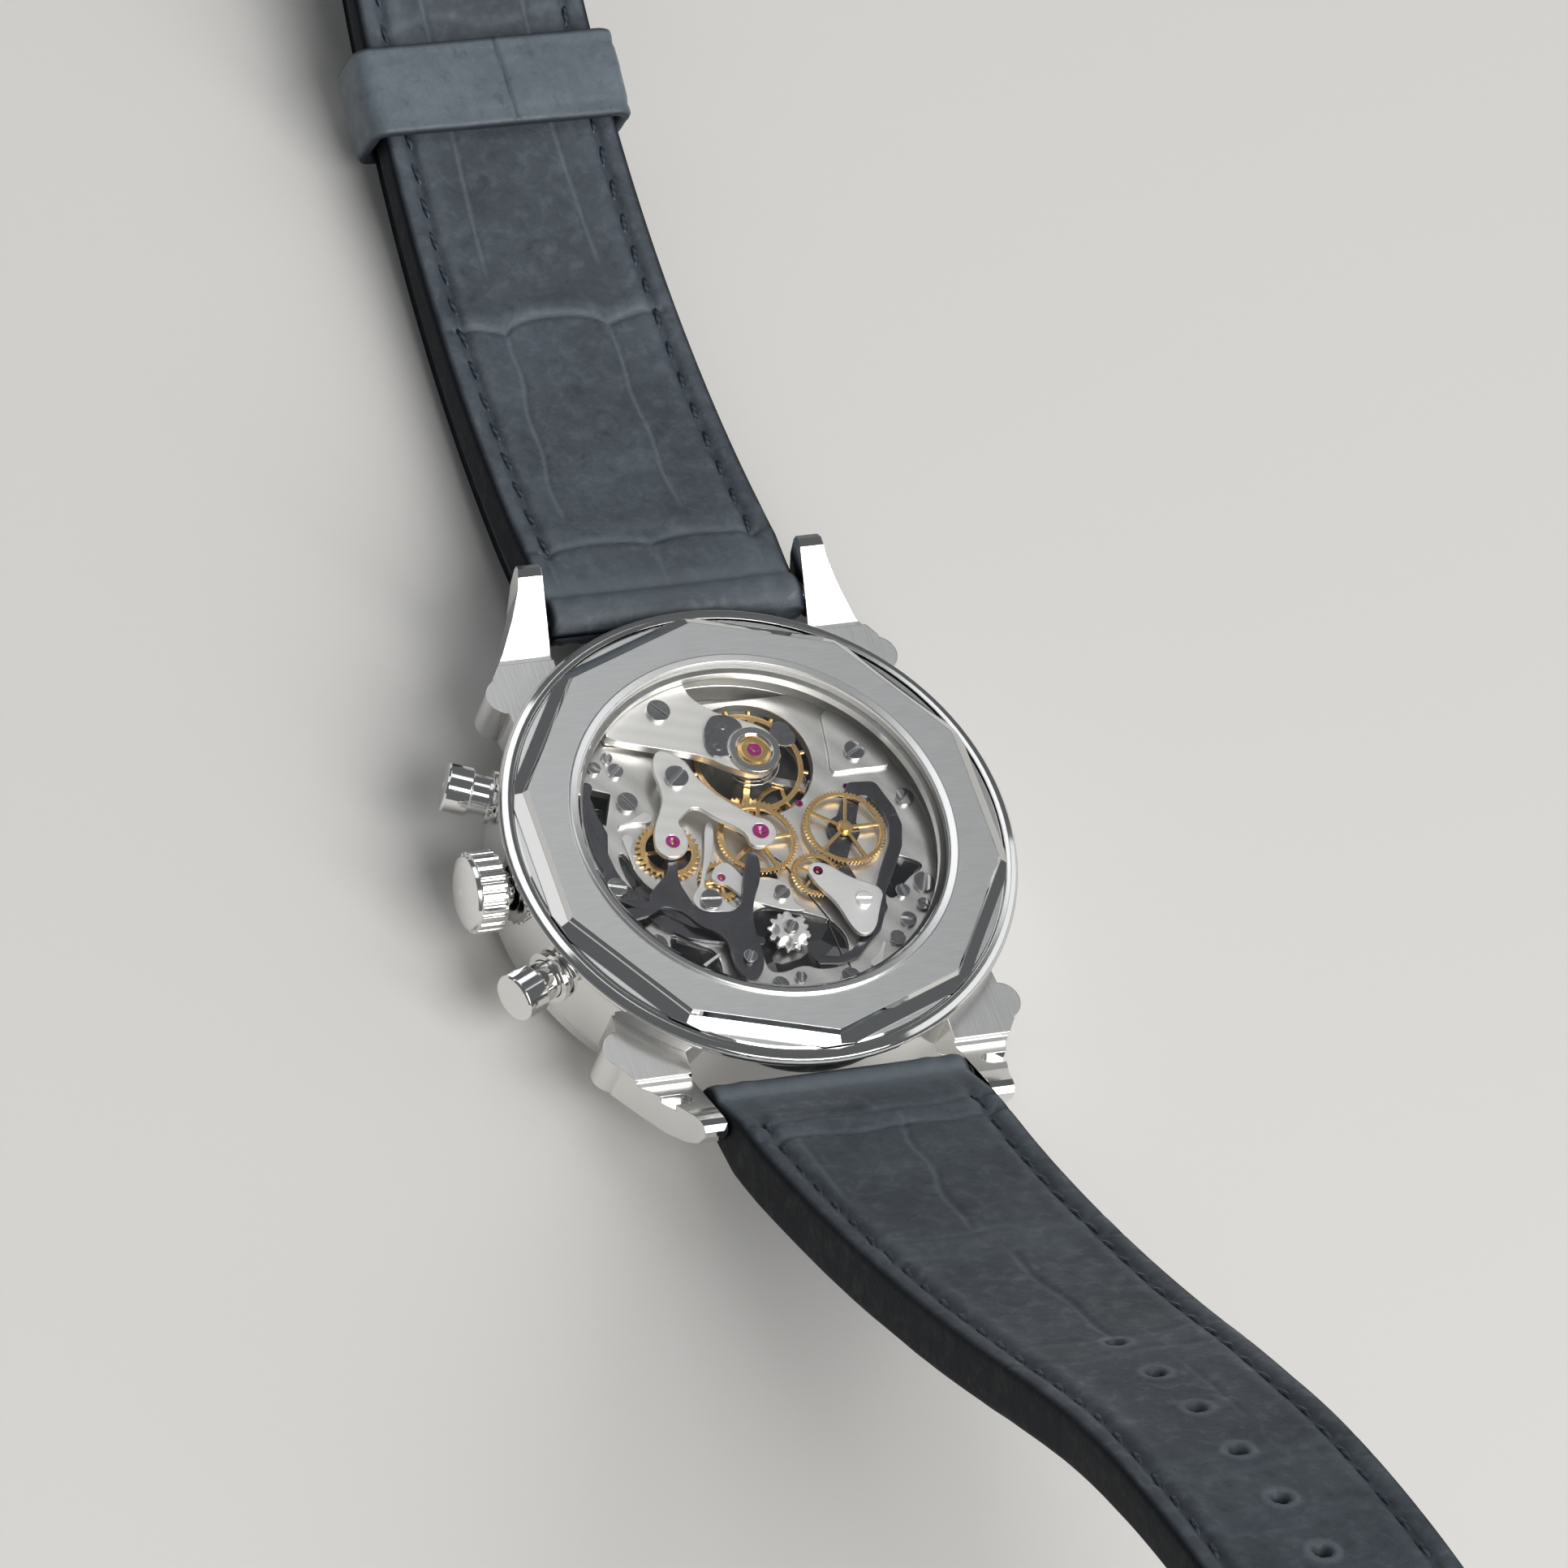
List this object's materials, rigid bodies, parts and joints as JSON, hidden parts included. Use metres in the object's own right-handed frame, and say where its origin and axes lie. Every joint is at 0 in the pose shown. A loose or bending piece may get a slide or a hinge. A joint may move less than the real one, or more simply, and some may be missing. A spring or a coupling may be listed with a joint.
{
  "type": "wrist chronograph watch",
  "caption": "Steel wrist chronograph with a ten-sided see-through back over its movement, fluted crown, round push buttons and an alligator-grain strap.",
  "frame": {"origin": "centre of the front crystal's flat outer face, on which the watch lies", "axes": "+Z out of the see-through back, +Y towards 12 o'clock and the buckle half of the strap, -X towards the crown"},
  "size_m": [0.0413, 0.227, 0.0656],
  "materials": {
    "steel": "satin and polished stainless steel",
    "polished_steel": "polished steel",
    "dark_steel": "straight-grained steel with polished bevels",
    "rhodium": "rhodium-plated brass with straight stripes",
    "gilt": "gilt brass",
    "ruby": "polished synthetic ruby",
    "crystal": "clear sapphire",
    "dial_metal": "satin silvered",
    "rubber": "matte",
    "leather": "satin alligator-grain leather"
  },
  "bodies": {
    "case": {"case_middle": "steel", "bezel": "steel", "front_crystal": "crystal", "seal_rings": "rubber", "flange_ring": "dial_metal", "dial": "dial_metal", "hour_markers": "gilt", "caseback": "steel", "caseback_glass": "crystal", "movement_ring": "rhodium", "case_tubes": "steel", "spring_bars": "steel", "main_plate": "rhodium", "barrel_bridge": "rhodium", "train_bridge": "rhodium", "chronograph_bridge": "rhodium", "minute_bridge": "rhodium", "balance_cock": "rhodium", "regulator": "polished_steel", "jewels": "ruby", "bridge_screws": "polished_steel", "lever_springs": "polished_steel", "hairspring": "polished_steel"},
    "crown_slide": {"crown_gasket": "rubber"},
    "crown": {"crown": "steel", "winding_stem": "polished_steel"},
    "ratchet": {"ratchet_wheel": "polished_steel"},
    "start_pusher": {"pusher_start": "steel"},
    "reset_pusher": {"pusher_reset": "steel"},
    "operating_lever": {"operating_lever": "dark_steel"},
    "hammer": {"hammer": "dark_steel"},
    "brake_lever": {"brake_lever": "polished_steel"},
    "coupling_lever": {"coupling_lever": "dark_steel", "coupling_bridge": "polished_steel"},
    "coupling_wheel": {"coupling_wheel": "gilt"},
    "column_wheel": {"column_wheel": "polished_steel"},
    "chronograph": {"chronograph_wheel": "gilt", "chronograph_hand": "gilt"},
    "minute_counter": {"minute_counter_wheel": "gilt", "minute_counter_hand": "gilt"},
    "intermediate": {"intermediate_wheel": "gilt"},
    "centre": {"centre_wheel": "gilt", "minute_hand": "gilt"},
    "hour": {"hour_wheel": "gilt", "hour_hand": "gilt"},
    "third": {"third_wheel": "gilt"},
    "fourth": {"fourth_wheel": "gilt", "driving_wheel": "gilt", "seconds_hand": "gilt"},
    "escape": {"escape_wheel": "polished_steel"},
    "pallet": {"pallet_fork": "polished_steel"},
    "balance": {"balance_wheel": "gilt"},
    "barrel": {"barrel": "gilt"},
    "strap_buckle_half": {"strap_buckle_side": "leather", "fixed_keeper": "leather", "buckle_bar": "steel"},
    "strap_hole_half": {"strap_hole_side": "leather"},
    "sliding_keeper": {"sliding_keeper": "leather"},
    "buckle_frame": {"buckle_frame": "steel"},
    "buckle_tang": {"buckle_tang": "steel"}
  },
  "joints": [
    {"name": "crown_pull", "type": "slide", "parent": "case", "child": "crown_slide", "axis": [-1, 0, 0], "range_m": [0, 0.0008]},
    {"name": "crown_turn", "type": "hinge", "parent": "crown_slide", "child": "crown", "pos_m": [-0.02, 0, 0.0059], "axis": [-1, 0, 0], "continuous": true},
    {"name": "ratchet_turn", "type": "hinge", "parent": "case", "child": "ratchet", "pos_m": [-0.004, -0.00575, 0.00635], "axis": [0, 0, 1], "continuous": true},
    {"name": "start_press", "type": "slide", "parent": "case", "child": "start_pusher", "axis": [0.9171, -0.3987, 0], "range_m": [0, 0.0006], "stiffness_N_per_m": 800, "springref_m": -0.0006},
    {"name": "reset_press", "type": "slide", "parent": "case", "child": "reset_pusher", "axis": [0.9171, 0.3987, 0], "range_m": [0, 0.0006], "stiffness_N_per_m": 800, "springref_m": -0.0006},
    {"name": "operating_lever_turn", "type": "hinge", "parent": "case", "child": "operating_lever", "pos_m": [-0.0116, -0.0026, 0.0078], "axis": [0, 0, 1], "range_deg": [-6, 1]},
    {"name": "hammer_turn", "type": "hinge", "parent": "case", "child": "hammer", "pos_m": [-0.0038, -0.0099, 0.0085], "axis": [0, 0, 1], "range_deg": [-6, 1]},
    {"name": "brake_turn", "type": "hinge", "parent": "case", "child": "brake_lever", "pos_m": [-0.0051, -0.0047, 0.00815], "axis": [0, 0, 1], "range_deg": [-1.2, 3]},
    {"name": "coupling_lever_turn", "type": "hinge", "parent": "case", "child": "coupling_lever", "pos_m": [0.0068, 0, 0.0078], "axis": [0, 0, 1], "range_deg": [-1.5, 0]},
    {"name": "coupling_wheel_turn", "type": "hinge", "parent": "coupling_lever", "child": "coupling_wheel", "pos_m": [0.00345, -0.00355, 0.0082], "axis": [0, 0, 1], "continuous": true},
    {"name": "column_turn", "type": "hinge", "parent": "case", "child": "column_wheel", "pos_m": [0.0001, -0.0078, 0.0081], "axis": [0, 0, 1], "continuous": true},
    {"name": "chronograph_turn", "type": "hinge", "parent": "case", "child": "chronograph", "pos_m": [0, 0, 0.0082], "axis": [0, 0, 1], "continuous": true},
    {"name": "minute_counter_turn", "type": "hinge", "parent": "case", "child": "minute_counter", "pos_m": [-0.0068, 0, 0.0078], "axis": [0, 0, 1], "continuous": true},
    {"name": "intermediate_turn", "type": "hinge", "parent": "case", "child": "intermediate", "pos_m": [-0.0037, -0.0029, 0.0078], "axis": [0, 0, 1], "continuous": true},
    {"name": "seconds_turn", "type": "hinge", "parent": "case", "child": "fourth", "pos_m": [0.0068, 0, 0.0062], "axis": [0, 0, 1], "continuous": true},
    {"name": "minutes_turn", "type": "hinge", "parent": "case", "child": "centre", "pos_m": [0, 0, 0.0065], "axis": [0, 0, 1], "continuous": true},
    {"name": "hours_turn", "type": "hinge", "parent": "case", "child": "hour", "pos_m": [0, 0, 0.0037], "axis": [0, 0, 1], "continuous": true},
    {"name": "third_turn", "type": "hinge", "parent": "case", "child": "third", "pos_m": [0.0043, 0.0028, 0.0055], "axis": [0, 0, 1], "continuous": true},
    {"name": "escape_turn", "type": "hinge", "parent": "case", "child": "escape", "pos_m": [0.0083, 0.00375, 0.0057], "axis": [0, 0, 1], "continuous": true},
    {"name": "barrel_turn", "type": "hinge", "parent": "case", "child": "barrel", "pos_m": [-0.004, -0.00575, 0.0055], "axis": [0, 0, 1], "continuous": true},
    {"name": "pallet_turn", "type": "hinge", "parent": "case", "child": "pallet", "pos_m": [0.0061, 0.0051, 0.0057], "axis": [0, 0, 1], "range_deg": [-5, 5]},
    {"name": "balance_turn", "type": "hinge", "parent": "case", "child": "balance", "pos_m": [0.0017, 0.0069, 0.007], "axis": [0, 0, 1], "range_deg": [-150, 150], "stiffness_Nm_per_rad": 0.0000006},
    {"name": "buckle_half_hinge", "type": "hinge", "parent": "case", "child": "strap_buckle_half", "pos_m": [0, 0.0208, 0.0073], "axis": [1, 0, 0], "range_deg": [-25, 60]},
    {"name": "hole_half_hinge", "type": "hinge", "parent": "case", "child": "strap_hole_half", "pos_m": [0, -0.0208, 0.0073], "axis": [-1, 0, 0], "range_deg": [-60, 33]},
    {"name": "keeper_slide", "type": "slide", "parent": "strap_buckle_half", "child": "sliding_keeper", "axis": [0, 0.9772, 0.2122], "range_m": [-0.003, 0.004]},
    {"name": "frame_hinge", "type": "hinge", "parent": "strap_buckle_half", "child": "buckle_frame", "pos_m": [0, 0.09464, 0.01049], "axis": [1, 0, 0], "range_deg": [-60, 60]},
    {"name": "tang_hinge", "type": "hinge", "parent": "buckle_frame", "child": "buckle_tang", "pos_m": [0, 0.09464, 0.01049], "axis": [1, 0, 0], "range_deg": [0, 45]}
  ],
  "couplings": [
    {"joint": "minutes_turn", "follows": "seconds_turn", "ratio": 0.016667},
    {"joint": "hours_turn", "follows": "seconds_turn", "ratio": 0.0013889},
    {"joint": "third_turn", "follows": "seconds_turn", "ratio": -0.13333},
    {"joint": "escape_turn", "follows": "seconds_turn", "ratio": -10},
    {"joint": "barrel_turn", "follows": "seconds_turn", "ratio": -0.002381},
    {"joint": "coupling_wheel_turn", "follows": "seconds_turn", "ratio": -1.6},
    {"joint": "minute_counter_turn", "follows": "chronograph_turn", "ratio": 0.033333},
    {"joint": "intermediate_turn", "follows": "chronograph_turn", "ratio": -0.038462},
    {"joint": "ratchet_turn", "follows": "crown_turn", "ratio": 0.38889},
    {"joint": "operating_lever_turn", "follows": "start_press", "rad_per_m": -142.66},
    {"joint": "hammer_turn", "follows": "reset_press", "rad_per_m": -132.21}
  ]
}
